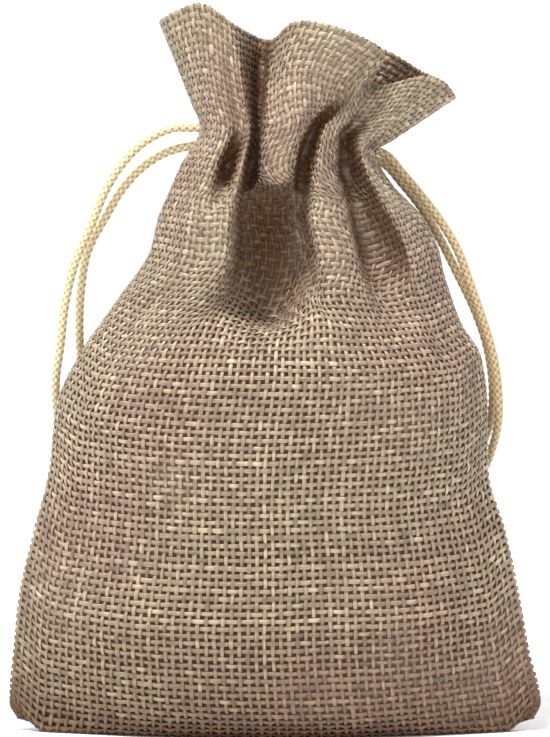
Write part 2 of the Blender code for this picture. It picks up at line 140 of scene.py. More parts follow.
def multiply(material, values, links):
    """Colour A times colour B, as far as Factor says."""
    settings = {"data_type": "RGBA", "blend_type": "MULTIPLY"}
    return add_node(material, "ShaderNodeMix", values, links, **settings).outputs["Result"]


def ramp(material, factor, stops):
    """A colour ramp through the given places and hex colours."""
    node = add_node(material, "ShaderNodeValToRGB", links={"Fac": factor})
    while len(node.color_ramp.elements) < len(stops):
        node.color_ramp.elements.new(0.5)
    for element, (place, code) in zip(node.color_ramp.elements, stops):
        element.position = place
        element.color = linear(code)
    return node.outputs["Color"]


# %% Meshes from arrays
def grid_faces(strips, rows, columns, closed=False):
    """Corners of the quads in equal grids of points, each grid rows long and columns across."""
    ahead = columns if closed else columns - 1
    s, r, c = np.meshgrid(np.arange(strips), np.arange(rows - 1), np.arange(ahead), indexing="ij")
    start = s * rows * columns
    near, far = start + r * columns, start + (r + 1) * columns
    after = (c + 1) % columns
    return np.stack([near + c, near + after, far + after, far + c], axis=-1).reshape(-1, 4)


def mesh_piece(name, points, faces, material, values=None, uv=None):
    """A mesh object from points in millimetres, with named values at them and a place for each."""
    mesh = bpy.data.meshes.new(name)
    mesh.from_pydata((points.reshape(-1, 3) * MM).tolist(), [], [list(face) for face in faces])
    for title, numbers in (values or {}).items():
        mesh.attributes.new(title, "FLOAT", "POINT").data.foreach_set("value", np.ravel(numbers))
    if uv is not None:
        corners = uv.reshape(-1, 2)[faces.ravel()]
        mesh.uv_layers.new(name="place").data.foreach_set("uv", corners.ravel())
    mesh.shade_smooth()
    mesh.materials.append(material)
    piece = bpy.data.objects.new(name, mesh)
    bpy.context.scene.collection.objects.link(piece)
    print(name, "has", len(faces), "faces")
    return piece


def unit(vectors):
    """The same directions, with a length of one."""
    return vectors / np.maximum(np.linalg.norm(vectors, axis=-1, keepdims=True), 1e-9)


# %% [markdown]
# ## Cord finish
# The cord is a round braid of glossy viscose yarn, cream, about 1.7 mm thick. Its braid is real
# relief in the mesh. The finish adds what is smaller than that: fine filaments, a darker cream in
# the grooves as painted shade, and the soft sheen that viscose has. The cord on the right has the
# same finish painted darker, as painted shade.

# %% Make the cord's finish
MOTTLE_SCALE = 900.0  # to the metre, so the largest mottles are about a millimetre
MOTTLE_HIGH = 0.05


def cord_finish(name, groove_shade, crown):
    """Braided cord with painted shade in its grooves, mottled by its filaments."""
    values = {"Roughness": 0.5, "Sheen Weight": 0.25, "Sheen Roughness": 0.4}
    material, shader = new_material(name, values)
    colour = ramp(material, stored(material, "tone"), ((0.0, groove_shade), (0.75, crown)))
    place = add_node(material, "ShaderNodeTexCoord").outputs["Object"]
    mottle = noise(material, place, {"Scale": MOTTLE_SCALE, "Detail": 3.0})
    links = {"Color": colour, "Value": spread(material, mottle, 0.86, 1.12)}
    mottled = add_node(material, "ShaderNodeHueSaturation", links=links).outputs["Color"]
    join(shader, {"Base Color": mottled, "Normal": bump(material, 0.35, MOTTLE_HIGH, mottle)})
    return material


cord_finishes = {
    "left": cord_finish("braided_viscose_cream", "8a7448", "dccfa8"),
    # The right cord's finish is the same cream made darker: painted shade.
    "right": cord_finish("braided_viscose_cream_shaded", "77603e", "c2ac82"),
}
print("cord finishes:", [finish.name for finish in cord_finishes.values()])

# %% [markdown]
# ## Drawcords
# Each cord leaves the neck at a side, hangs over the shoulder, lies down the side of the sack and
# passes behind it to a knot. A cord is one smooth curve, so its route is a handful of places and
# the curve through them. Around that curve goes a tube whose radius rises and falls as the yarns
# of a braid pass over and under each other. Real relief catches the light at the cord's edge,
# where a painted pattern would stay flat.

# %% Read a smooth curve through a route
CORD = 1.7
FINE = 240


def distances(points):
    """How far along a line of points each of them lies."""
    steps = np.linalg.norm(np.diff(points, axis=0), axis=1)
    return np.concatenate(([0.0], np.cumsum(steps)))


def even(points, count):
    """Points spaced evenly along a line given by many points."""
    along = distances(points)
    wanted = np.linspace(0.0, along[-1], count)
    return np.stack([np.interp(wanted, along, points[:, axis]) for axis in range(3)], axis=1)


def curve(places, values, wanted, tangents):
    """A smooth curve through values at places, read at one wanted place."""
    index = int(np.clip(np.searchsorted(places, wanted, side="right") - 1, 0, len(places) - 2))
    step = places[index + 1] - places[index]
    t = (wanted - places[index]) / step
    start = (1.0 + 2.0 * t) * (1.0 - t) ** 2 * values[index]
    end = t * t * (3.0 - 2.0 * t) * values[index + 1]
    leave = t * (1.0 - t) ** 2 * step * tangents[index]
    arrive = -t * t * (1.0 - t) * step * tangents[index + 1]
    return start + end + leave + arrive


def smooth_line(route, step):
    """Even points, step apart, on a smooth curve through a route."""
    values = np.array(route)
    places = distances(values)
    tangents = np.gradient(values, places, axis=0)
    wanted = np.linspace(0.0, places[-1], 8 * FINE)
    fine = np.array([curve(places, values, at, tangents) for at in wanted])
    length = distances(fine)[-1]
    return even(fine, int(round(length / step)) + 1), length


# %% Wrap a braid round a line
CARRIERS = 4  # yarns that wind each way round the cord
BRAID_PITCH = 1.36  # along the cord, between yarns that wind the same way
BRAID_DEPTH = 0.17  # share of the radius
TIP = 0.175  # how far the dome at a cord's end stands out
OFF_AXIS = (0.3, 1.0, 0.2)  # any direction that no cord follows


def braid_tube(line, around):
    """Points of a braided tube round a line, with the height of the braid at each."""
    tangent = unit(np.gradient(line, axis=0))
    side = np.cross(tangent[0], OFF_AXIS)
    sides = []
    for direction in tangent:
        side = unit(side - direction * np.dot(side, direction))
        sides.append(side)
    sides = np.array(sides)
    other = np.cross(tangent, sides)
    along = distances(line)
    turn = np.arange(around) * 2.0 * np.pi / around
    lap = CARRIERS * turn[None, :] / (2.0 * np.pi)
    one_way = np.cos(np.pi * (lap + along[:, None] / BRAID_PITCH))
    other_way = np.cos(np.pi * (lap - along[:, None] / BRAID_PITCH))
    over = 0.5 + 0.5 * one_way * other_way
    height = over * one_way**2 + (1.0 - over) * other_way**2
    reach = 0.5 * CORD * (1.0 - BRAID_DEPTH + BRAID_DEPTH * height)
    cos, sin = np.cos(turn)[None, :, None], np.sin(turn)[None, :, None]
    ring = cos * sides[:, None, :] + sin * other[:, None, :]
    return line[:, None, :] + reach[..., None] * ring, height


def tube_with_ends(line, around):
    """A braided tube closed by a small dome at both ends: its points, faces and tones."""
    points, height = braid_tube(line, around)
    rows = len(points)
    faces = grid_faces(1, rows, around, closed=True).tolist()
    tips = line[[0, -1]] + TIP * unit(line[[0, -1]] - line[[1, -2]])
    all_points = np.concatenate((points.reshape(-1, 3), tips))
    first, last = rows * around, rows * around + 1
    for j in range(around):
        k = (j + 1) % around
        faces.append([first, k, j])
        faces.append([last, (rows - 1) * around + j, (rows - 1) * around + k])
    # The braid's height is returned as the tone, which the cord's finish turns into painted shade
    # in the grooves.
    return all_points, faces, np.concatenate((height.ravel(), (0.3, 0.3)))


# %% Lay the four strands
ROUTES = {
    "cord_left_outer": (
        (-14.9, 0.5, 111.0), (-18.6, 0.3, 110.9), (-24.2, 0.3, 108.2), (-28.3, 0.6, 104.0),
        (-30.9, 0.8, 99.9), (-33.7, 1.0, 93.2), (-36.8, 1.2, 86.0), (-38.6, 1.6, 78.5),
        (-39.5, 2.4, 71.2), (-40.5, 4.0, 63.9), (-40.2, 6.9, 57.5), (-38.2, 10.4, 51.2),
        (-35.1, 12.5, 44.9),
    ),
    "cord_left_inner": (
        (-15.7, 1.8, 107.6), (-20.2, 2.6, 106.4), (-24.8, 2.8, 103.4), (-28.2, 3.0, 99.6),
        (-31.2, 3.1, 94.6), (-34.4, 3.4, 88.6), (-35.8, 4.2, 81.0), (-36.2, 6.2, 74.0),
        (-36.0, 9.4, 67.0), (-35.4, 11.8, 59.5), (-34.0, 13.2, 52.0), (-32.8, 13.4, 45.2),
    ),
    "cord_right_outer": (
        (20.05, 0.3, 106.2), (23.4, 0.2, 102.6), (26.9, 0.0, 98.4), (30.4, 0.0, 93.8),
        (33.4, 0.3, 88.8), (35.6, 0.6, 83.0), (37.9, 0.9, 76.5), (39.9, 1.2, 70.0),
        (41.0, 1.8, 63.5), (41.2, 3.2, 57.2), (40.1, 6.4, 51.2), (38.0, 9.6, 45.6),
        (35.3, 11.2, 40.1),
    ),
    "cord_right_inner": (
        (19.7, 2.6, 104.6), (23.4, 3.4, 100.8), (27.6, 3.5, 95.4), (30.9, 3.2, 89.6),
        (33.4, 2.9, 84.6), (36.6, 3.2, 78.0), (39.0, 3.6, 71.2), (40.2, 4.6, 63.5),
        (40.0, 6.8, 57.0), (38.0, 9.9, 51.0), (35.2, 11.9, 45.6), (32.9, 12.1, 40.4),
    ),
}  # fmt: skip
CORD_AROUND = 24
CORD_STEP = 0.18
SUNK = 2.2  # how far inside the neck a strand starts, in its channel
SUNK_WAY = np.array((1.0, 1.0, 0.4))  # it lies flatter in the channel
INTO_KNOT = 1.6  # so far above its knot's middle a strand enters it

Knot = namedtuple("Knot", "name x y z")
KNOTS = {
    "left": Knot("knot_left", -34.0, 13.3, 41.2),
    "right": Knot("knot_right", 34.1, 12.0, 36.4),
}

strands = {}
for name, route in ROUTES.items():
    side = name.split("_")[1]
    knot = KNOTS[side]
    first = np.array(route[0])
    start = first + SUNK * unit(first - np.array(route[1])) * SUNK_WAY
    end = (0.5 * (route[-1][0] + knot.x), 0.5 * (route[-1][1] + knot.y), knot.z + INTO_KNOT)
    line, length = smooth_line([tuple(start), *route, end], CORD_STEP)
    points, faces, tone = tube_with_ends(line, CORD_AROUND)
    strand = mesh_piece(f"{name}_braid", points, faces, cord_finishes[side], {"tone": tone})
    strands[name] = (strand, line, length)
    print(name, "is", round(length, 1), "mm long")

# %% [markdown]
# ## Knots
# The two strands of a side end in one overhand knot, with two short cut tails. Tied tight, such a
# knot is a barrel of three slanting turns. The same braided tube, wound along a coil, gives it.

# %% Tie the knots
KNOT_TURNS = 3.0
KNOT_RADIUS = 1.95
KNOT_TALL = 5.4  # between the middles of its first and last turns
KNOT_SLANT = 0.22
KNOT_AROUND = 20
COIL_PLACES = 60  # at which the coil is worked out
COIL_POINTS = 130  # along its tube
TAIL = 8.4
TAIL_LEAN = 0.28
TAIL_STEP = 0.22


def knot_piece(knot, material):
    """A tight barrel of turns with two tails below it, as one mesh."""
    turn = np.linspace(0.0, 2.0 * np.pi * KNOT_TURNS, COIL_PLACES)
    share = turn / turn[-1]
    in_out = KNOT_RADIUS * np.clip(np.minimum(share, 1.0 - share) / 0.08, 0.25, 1.0)
    x = knot.x + in_out * np.cos(turn)
    y = knot.y + in_out * np.sin(turn)
    z = knot.z + KNOT_TALL * (0.5 - share) + KNOT_SLANT * (x - knot.x)
    lines = [even(np.stack([x, y, z], axis=1), COIL_POINTS)]
    for side in (-1.0, 1.0):
        top = np.array((knot.x - 0.4 * side, knot.y, knot.z - 0.6))
        tip = top + TAIL * np.array((-side * math.sin(TAIL_LEAN), 0.0, -math.cos(TAIL_LEAN)))
        middle = 0.5 * (top + tip) + np.array((-0.5 * side, 0.4, 0.0))
        lines.append(smooth_line((tuple(top), tuple(middle), tuple(tip)), TAIL_STEP)[0])
    points, faces, tones, count = [], [], [], 0
    for line in lines:
        some, corners, tone = tube_with_ends(line, KNOT_AROUND)
        points.append(some)
        tones.append(tone)
        faces += [[count + corner for corner in face] for face in corners]
        count += len(some)
    values = {"tone": np.concatenate(tones)}
    piece = mesh_piece(f"{knot.name}_tied", np.concatenate(points), faces, material, values)
    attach(piece, "root")
    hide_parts(knot.name)
    return piece


ties = {side: knot_piece(knot, cord_finishes[side]) for side, knot in KNOTS.items()}

for name, (strand, line, length) in strands.items():
    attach(strand, "root")
    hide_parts(name)

# %% [markdown]
# ## The shape of the cloth
# A place on the cloth has two measures: round the sack from the left seam over the front to the
# right seam and back behind, and up from the bottom fold to the mouth. Sections set the sack's
# girth at each height. The folds of the neck each follow one place on the cloth up to the mouth.
# These are the plain model's own formulas, read here on a far finer grid, so the dressed sack and
# the plain one agree within half a millimetre nearly everywhere. A cloth simulation would settle
# into folds of its own, and this sack is known by where its folds are.

# %% Sizes of the cloth
PANEL = 100.0
LENGTH = 149.0
COLUMNS = 300  # of the grid in front, and as many behind
ROW_STEP = 1.0 / 3.0
NECK_UP = 129.0
COLLAR_UP = 112.0
COLLAR_Z = 95.0
FALL_FROM = 8.0  # right of here the drawn line slopes down
# Each ring's height, and how steeply it falls.
DRAWN = {"collar": (COLLAR_Z, 0.0), "throat": (104.0, 0.25), "neck": (111.2, 0.45)}
FLAT_SHARE = 0.86
SAG = 2.5  # how late a section begins to rise toward its seams
DENTS_FROM = 12.0
CREASE_HALF = 0.42  # of a crease's length, where it begins to fade

# %% Sections of the body, from the bottom fold up to the collar
Section = namedtuple("Section", "up z_mid z_seam left right front back round folds")
SECTIONS = (
    Section(0.0, 0.0, 2.2, -47.8, 48.0, 0.0, 0.0, 0.00, 0.00),
    Section(9.0, 0.0, 5.4, -49.3, 49.3, 9.0, 8.5, 0.05, 0.00),
    Section(13.5, 2.4, 8.6, -49.2, 48.9, 12.8, 12.0, 0.10, 0.00),
    Section(20.0, 8.2, 14.6, -48.6, 47.3, 15.0, 14.0, 0.15, 0.00),
    Section(30.0, 18.0, 24.0, -47.5, 45.5, 16.8, 15.6, 0.25, 0.00),
    Section(44.0, 31.8, 37.0, -45.0, 42.8, 18.8, 18.2, 0.40, 0.00),
    Section(56.0, 43.6, 48.5, -42.1, 39.6, 20.3, 19.9, 0.60, 0.00),
    Section(68.0, 55.5, 60.0, -40.6, 39.4, 21.4, 21.0, 0.75, 0.00),
    Section(78.0, 65.3, 69.0, -36.6, 38.2, 21.0, 20.7, 0.80, 0.05),
    Section(86.0, 72.8, 75.5, -32.2, 34.4, 18.6, 19.2, 0.85, 0.14),
    Section(94.0, 79.8, 81.5, -27.9, 32.2, 15.6, 16.8, 0.90, 0.55),
    Section(98.5, 83.5, 84.8, -25.4, 31.2, 14.6, 15.8, 0.92, 0.80),
    Section(103.0, 87.4, 88.5, -23.2, 30.4, 13.8, 15.0, 0.95, 0.95),
    Section(COLLAR_UP, COLLAR_Z, COLLAR_Z, -21.6, 27.3, 12.6, 13.4, 1.00, 1.00),
)
# %% Folds of the neck, front from left to right, then behind from right to left
Fold = namedtuple("Fold", "name cloth collar throat neck mouth")
FOLDS = (
    Fold("left_seam", 0.0, (-21.6, 1.0), (-17.7, 0.8), (-14.0, 0.5), (-21.6, 1.0, 130.7)),
    Fold("shoulder", 9.0, (-16.4, -10.4), (-13.6, -9.0), (-11.0, -7.0), (-15.4, -4.8, 133.6)),
    Fold("shoulder_edge", 14.5, (-13.4, -12.6), (-10.6, -9.9), (-8.2, -7.4), (-12.2, -6.8, 133.2)),
    Fold("slit", 19.0, (-10.8, -13.3), (-8.4, -4.2), (-6.6, -6.2), (-9.8, -6.8, 131.9)),
    Fold("thin_ridge", 24.5, (-7.8, -13.4), (-6.0, -10.8), (-4.5, -8.6), (-7.0, -4.6, 130.0)),
    Fold("left_gap", 31.0, (-6.6, -7.0), (-4.2, -2.4), (-3.0, -3.0), (-2.4, 4.4, 127.8)),
    Fold("column_left", 37.0, (-5.2, -1.6), (-2.6, -9.2), (-2.2, -8.8), (-0.6, -2.0, 127.5)),
    Fold("column", 43.5, (-1.6, -0.2), (0.5, -11.4), (1.2, -11.0), (3.4, -7.6, 130.5)),
    Fold("column_right", 50.5, (2.2, -0.8), (3.6, -9.9), (4.4, -10.2), (9.8, -11.0, 129.6)),
    Fold("lobe_edge", 57.0, (4.4, -2.8), (4.2, -5.6), (6.4, -7.4), (15.8, -11.8, 127.2)),
    Fold("crease", 62.0, (5.8, -7.8), (5.5, -4.6), (7.4, -4.2), (20.2, -9.0, 124.2)),
    Fold("soft_ridge", 66.5, (7.0, -13.6), (7.7, -10.4), (9.0, -8.6), (18.8, -4.8, 121.4)),
    Fold("soft_ridge_side", 72.0, (12.4, -12.6), (10.6, -8.6), (11.2, -7.6), (18.4, -3.6, 119.2)),
    Fold("brown_valley", 78.0, (15.6, -4.4), (13.2, -2.6), (12.6, -2.6), (21.4, -7.2, 119.3)),
    Fold("right_ridge", 85.0, (21.2, -10.6), (17.6, -9.2), (15.6, -7.1), (26.4, -9.4, 120.3)),
    Fold("right_nook", 92.0, (24.8, -5.2), (20.0, -4.0), (16.8, -2.4), (30.8, -7.4, 119.0)),
    Fold("right_seam", 100.0, (27.3, 1.0), (21.9, 0.8), (18.7, 0.6), (33.4, -2.6, 116.2)),
    Fold("back_nook", 107.5, (24.6, 5.6), (19.3, 3.9), (15.0, 2.6), (31.4, 2.4, 118.9)),
    Fold("back_ridge_1", 115.0, (20.2, 10.6), (17.5, 8.7), (15.4, 7.2), (27.6, 7.4, 121.4)),
    Fold("back_valley_1", 123.5, (15.2, 10.2), (13.3, 6.9), (11.8, 4.4), (21.8, 6.0, 124.8)),
    Fold("back_ridge_2", 132.5, (10.6, 14.2), (9.7, 11.9), (9.0, 10.0), (15.4, 11.2, 127.4)),
    Fold("back_valley_2", 141.5, (6.0, 11.2), (6.0, 8.5), (6.0, 6.4), (9.8, 7.2, 127.8)),
    Fold("back_ridge_3", 150.5, (1.2, 14.8), (1.9, 12.6), (2.4, 10.8), (4.2, 12.6, 128.6)),
    Fold("back_valley_3", 159.5, (-3.6, 11.2), (-1.9, 8.5), (-0.6, 6.4), (-1.6, 8.4, 127.4)),
    Fold("back_ridge_4", 168.5, (-8.2, 13.6), (-6.0, 11.5), (-4.2, 9.8), (-7.0, 11.8, 129.6)),
    Fold("back_valley_4", 177.5, (-12.4, 9.8), (-9.2, 6.6), (-6.6, 4.4), (-10.8, 6.2, 129.2)),
    Fold("back_ridge_5", 186.0, (-16.2, 9.4), (-12.9, 8.4), (-10.2, 7.6), (-16.0, 8.6, 131.2)),
    Fold("left_nook", 193.5, (-19.2, 5.4), (-14.4, 4.0), (-10.6, 2.8), (-18.8, 4.4, 130.4)),
)

# %% Rings above the collar
# Each is a mix of the collar's, the throat's, the neck's and the mouth's folds.
Ring = namedtuple("Ring", "name up collar throat neck mouth")
RINGS = (
    Ring("under", 115.5, 0.69, 0.31, 0.0, 0.0),
    Ring("roll", 118.0, 0.42, 0.58, 0.0, 0.0),
    Ring("throat", 121.5, 0.0, 1.0, 0.0, 0.0),
    Ring("neck", NECK_UP, 0.0, 0.0, 1.0, 0.0),
    Ring("heading_low", NECK_UP + 4.0, 0.0, 0.0, 0.8, 0.2),
    Ring("heading", NECK_UP + 11.0, 0.0, 0.0, 0.46, 0.54),
    Ring("mouth", LENGTH, 0.0, 0.0, 0.0, 1.0),
)
# The middle fold hangs free in front of the hollow and rolls under there.
Roll = namedtuple("Roll", "ring fold x y z")
ROLLS = (
    Roll("roll", "column_left", -2.5, -9.2, 101.4),
    Roll("roll", "column", 0.4, -11.3, 100.4),
    Roll("roll", "column_right", 3.2, -9.9, 101.4),
    Roll("under", "column_left", -3.6, -3.4, 98.6),
    Roll("under", "column", -0.6, -3.6, 98.6),
    Roll("under", "column_right", 2.6, -3.4, 98.6),
)

# %% Dents and creases, positive inward
Dent = namedtuple("Dent", "name cloth up wide tall depth")
DENTS = (
    Dent("pocket", 46.0, 96.0, 6.5, 6.0, 5.3),
    Dent("pocket_left", 29.5, 91.0, 7.0, 6.5, -1.8),
    Dent("pocket_right", 61.0, 91.0, 6.5, 6.5, -2.0),
    Dent("belly_shelf", 42.0, 80.0, 20.0, 6.0, -1.8),
    Dent("brown_hollow", 79.0, 104.0, 5.5, 8.0, 1.6),
    Dent("belly_groove", 61.0, 44.0, 9.0, 26.0, 1.7),
    Dent("waist", 38.0, 50.0, 34.0, 13.0, 1.0),
    Dent("left_low_swell", 22.0, 32.0, 16.0, 7.0, -1.4),
    Dent("right_low_swell", 78.0, 34.0, 14.0, 8.0, -1.2),
    Dent("back_hollow", 152.0, 96.0, 16.0, 12.0, 1.6),
)
Crease = namedtuple("Crease", "name cloth_top up_top cloth_end up_end wide depth")
CREASES = (
    Crease("left_shoulder", 17.0, 108.0, 8.0, 84.0, 3.0, 0.8),
    Crease("right_inner", 66.0, 110.0, 66.0, 84.0, 3.2, -0.8),
    Crease("right_shoulder", 80.0, 108.0, 90.0, 80.0, 3.4, 1.0),
    Crease("back_left", 172.0, 106.0, 184.0, 78.0, 3.4, 0.9),
    Crease("back_right", 130.0, 106.0, 117.0, 78.0, 3.4, 0.9),
)
# Small unevenness of limp cloth, too low to matter in the plain model.
RIPPLES = (
    Crease("low_band_left", 4.0, 24.0, 40.0, 17.0, 3.0, -0.35),
    Crease("low_band_right", 60.0, 18.0, 96.0, 24.0, 3.0, -0.3),
    Crease("belly_line", 18.0, 66.0, 52.0, 61.0, 4.0, -0.4),
    Crease("left_pull", 3.0, 78.0, 16.0, 60.0, 2.6, 0.45),
    Crease("right_pull", 97.0, 78.0, 84.0, 62.0, 2.6, 0.45),
    Crease("gather_shoulder", 6.0, 126.0, 6.0, 98.0, 1.5, 0.4),
    Crease("gather_right", 81.0, 127.0, 82.0, 102.0, 1.5, 0.45),
    Crease("column_pleat", 45.0, 146.0, 44.0, 116.0, 1.6, 0.4),
    Crease("heading_left", 12.0, 147.0, 15.5, 131.0, 2.0, 0.45),
    Crease("back_pull", 150.0, 70.0, 160.0, 40.0, 6.0, 0.6),
)


# %% Functions for the shape
def smooth_step(share):
    share = np.clip(share, 0.0, 1.0)
    return share * share * (3.0 - 2.0 * share)


def slopes(places, values):
    """Slopes for a curve that never swings past its own points."""
    rises = np.diff(values, axis=0) / np.diff(places)[:, None, None]
    found = np.zeros_like(values)
    product = rises[:-1] * rises[1:]
    total = rises[:-1] + rises[1:]
    safe = np.where(product > 0.0, total, 1.0)
    found[1:-1] = np.where(product > 0.0, 2.0 * product / safe, 0.0)
    found[0], found[-1] = rises[0], rises[-1]
    return found


def section_ring(section):
    """One smooth closed section: front from left to right, then behind from right to left."""
    turn = np.linspace(0.0, np.pi, 4 * FINE + 1)
    across = (1.0 - section.round) * (2.0 * turn / np.pi - 1.0) - section.round * np.cos(turn)
    x = 0.5 * (section.left + section.right) + 0.5 * (section.right - section.left) * across
    toward_seam = smooth_step((np.abs(across) - FLAT_SHARE) / (1.0 - FLAT_SHARE))
    sagging = 0.5 * (np.abs(across) ** SAG + toward_seam)
    rise = toward_seam if section.z_mid == 0.0 else sagging
    z = section.z_mid + (section.z_seam - section.z_mid) * rise
    halves = []
    for depth, side in ((section.front, -1.0), (section.back, 1.0)):
        halves.append(even(np.stack([x, side * depth * np.sin(turn), z], axis=1), COLUMNS + 1))
    front, back = halves
    return np.concatenate((front[:-1], back[::-1][:-1]))


def fold_points(ring):
    """The folds' places on the collar, the throat, the neck or the mouth."""
    points = np.array([getattr(fold, ring) for fold in FOLDS])
    if ring == "mouth":
        return points
    top, slope = DRAWN[ring]
    return np.column_stack((points, top - slope * np.clip(points[:, 0] - FALL_FROM, 0.0, None)))


def ring_through(points):
    """A smooth closed ring through one point on each fold."""
    places = np.array([fold.cloth for fold in FOLDS])
    places = np.concatenate((places[-2:] - 2.0 * PANEL, places, places[:3] + 2.0 * PANEL))
    points = np.concatenate((points[-2:], points, points[:3]))
    tangents = np.zeros_like(points)
    tangents[1:-1] = (points[2:] - points[:-2]) / (places[2:] - places[:-2]).reshape(-1, 1)
    return np.array([curve(places, points, place, tangents) for place in cloth_places])


def skin(ups):
    """A smooth grid on the outer face of the cloth."""
    collar, throat, neck, mouth = map(fold_points, ("collar", "throat", "neck", "mouth"))
    folds = ring_through(collar) - section_ring(SECTIONS[-1])
    rings = [section_ring(section) + section.folds * folds for section in SECTIONS]
    names = [fold.name for fold in FOLDS]
    for ring in RINGS:
        points = ring.collar * collar + ring.throat * throat + ring.neck * neck + ring.mouth * mouth
        for roll in ROLLS:
            if roll.ring == ring.name:
                points[names.index(roll.fold)] = (roll.x, roll.y, roll.z)
        rings.append(ring_through(points))
    stations = np.array([section.up for section in SECTIONS] + [ring.up for ring in RINGS])
    rings = np.array(rings)
    tangents = slopes(stations, rings)
    return np.array([curve(stations, rings, up, tangents) for up in ups])


def push(cloth, up):
    """How far the dents and creases move the cloth inward at each place."""
    total = np.zeros(np.broadcast(cloth, up).shape)
    for dent in DENTS:
        side = (cloth - dent.cloth + PANEL) % (2.0 * PANEL) - PANEL
        total += dent.depth * np.exp(-((side / dent.wide) ** 2) - ((up - dent.up) / dent.tall) ** 2)
    for crease in CREASES + RIPPLES:
        run = np.array([crease.cloth_end - crease.cloth_top, crease.up_end - crease.up_top])
        size = np.linalg.norm(run)
        run = run / size
        along = (cloth - crease.cloth_top) * run[0] + (up - crease.up_top) * run[1]
        off = (cloth - crease.cloth_top) * run[1] - (up - crease.up_top) * run[0]
        fade = np.exp(-(((along - 0.5 * size) / (CREASE_HALF * size)) ** 4))
        total += crease.depth * fade * np.exp(-((off / crease.wide) ** 2))
    return total * smooth_step((up - DENTS_FROM) / DENTS_FROM)


def facing(grid):
    """Outward directions of a grid whose columns close round the sack."""
    round_step = np.roll(grid, -1, axis=1) - np.roll(grid, 1, axis=1)
    return unit(np.cross(round_step, np.gradient(grid, axis=0)))


# %% Read the shape on a fine grid
ups = np.linspace(0.0, LENGTH, int(round(LENGTH / ROW_STEP)) + 1)
cloth_places = np.arange(2 * COLUMNS) * PANEL / COLUMNS
smooth = skin(ups)
outer = smooth - push(cloth_places[None, :], ups[:, None])[..., None] * facing(smooth)
outer[..., 2] = np.maximum(outer[..., 2], 0.0)
print("grid of the cloth:", outer.shape[0], "rows by", outer.shape[1], "columns")

# %% [markdown]
# The grid's columns crowd in the valleys of the folds and spread on the ridges. Yarns laid on it as
# it is would do the same, far more than real ones, which slide until they lie more evenly. So the
# grid is read again with part of that evened out, round the sack and then up it.

# %% Ease the grid, so that yarns lie more evenly
EASE = 0.75  # 0 leaves the grid as it is, and 1 makes every step the same
EASE_ABOVE = 88.0  # the weft is level enough below here
SOFTEN = 4  # times that the inward directions are evened out


def eased(line):
    """The same line of points, with its uneven steps partly evened out."""
    steps = np.linalg.norm(np.diff(line, axis=0), axis=1)
    weight = np.maximum(steps, 1e-4) ** EASE
    place = np.concatenate(([0.0], np.cumsum(weight)))
    place /= place[-1]
    wanted = np.linspace(0.0, 1.0, len(line))
    return np.stack([np.interp(wanted, place, line[:, axis]) for axis in range(3)], axis=1)


for row in outer:
    front = eased(row[: COLUMNS + 1])
    back = eased(np.concatenate((row[COLUMNS:], row[:1])))
    row[: COLUMNS + 1] = front
    row[COLUMNS:] = back[:-1]
waist = int(EASE_ABOVE / (ups[1] - ups[0]))
for column in range(2 * COLUMNS):
    outer[waist:, column] = eased(outer[waist:, column])
outward = facing(outer)
inward = -outward
for _ in range(SOFTEN):
    inward = 0.5 * inward + 0.25 * (np.roll(inward, 1, axis=1) + np.roll(inward, -1, axis=1))
inward = unit(inward)
two_columns = np.linalg.norm(np.roll(outer, -1, axis=1) - np.roll(outer, 1, axis=1), axis=2)
round_pull = two_columns * COLUMNS / (2.0 * PANEL)
up_pull = np.linalg.norm(np.gradient(outer, axis=0), axis=2) / (ups[1] - ups[0])
for title, pull in (("round", round_pull), ("up", up_pull)):
    print("stretch", title, "the sack:", np.round(np.percentile(pull, (1, 50, 99)), 2).tolist())

# %% [markdown]
# ## Painted shade in the folds
# A yarn deep in a fold is lit mostly by the yarns around it, so it looks darker and browner than
# one on a ridge. To find out where, each place on the cloth sends out a fan of short rays, and the
# share of them that meets cloth or floor is stored. Measured on the shape, it is the same from
# every side, and the finishes further down paint it in as shade.

# %% Measure how deep each place lies in the folds
REACH = 16.0  # a fold or the floor closer than this shades a place
RAYS = 28
STAND_OFF = 0.8  # a ray starts so far off the cloth
THIN = 4  # one place in so many is measured each way
OFF_OUTWARD = (0.31, 0.52, 0.8)  # any direction, to turn the fan from

step = np.arange(RAYS) + 0.5
lean = np.sqrt(step / RAYS)
spin = step * math.pi * (3.0 - math.sqrt(5.0))
fan = np.stack([lean * np.cos(spin), lean * np.sin(spin), np.sqrt(1.0 - lean**2)], axis=1)
rare = outer[::2, ::2]
wall = BVHTree.FromPolygons(
    rare.reshape(-1, 3).tolist(), grid_faces(1, *rare.shape[:2], closed=True).tolist()
)


def blocked(point, out):
    """Share of the directions away from a place that meet cloth or floor within reach."""
    side = unit(np.cross(out, OFF_OUTWARD))
    ways = fan @ np.stack([side, np.cross(out, side), out])
    start = Vector(point + STAND_OFF * out)
    hits = 0
    for way in ways:
        to_floor = start.z / -way[2] if way[2] < 0.0 else REACH
        hits += to_floor < REACH or wall.ray_cast(start, Vector(way), REACH)[0] is not None
    return hits / RAYS


rows, columns = np.arange(0, len(ups), THIN), np.arange(0, 2 * COLUMNS, THIN)
shade = np.array([[blocked(outer[i, j], outward[i, j]) for j in columns] for i in rows])
shade = np.concatenate((shade, shade[:, :1]), axis=1)  # closes it round the sack
columns = np.append(columns, 2 * COLUMNS)
shade = np.array([np.interp(np.arange(2 * COLUMNS), columns, row) for row in shade])
shade = np.array([np.interp(np.arange(len(ups)), rows, line) for line in shade.T]).T
print("share of rays blocked:", np.round(np.percentile(shade, (1, 50, 90, 99)), 2).tolist())

# %% [markdown]
# ## Yarns
# The cloth is a plain weave of flat tape yarns, three quarters of a millimetre wide and twice that
# from one to the next. The warp goes up and the weft round, with a small square hole between every
# four. At this size each yarn can be a real ribbon that rises over one crossing and dips under the
# next. An image or a bump pattern would give the same drawing but a smooth outline and no shadow in
# the holes. At the mouth the warp turns over the rim and runs down inside, because the heading is
# doubled. The sewing presses the yarns flat at the side seams.

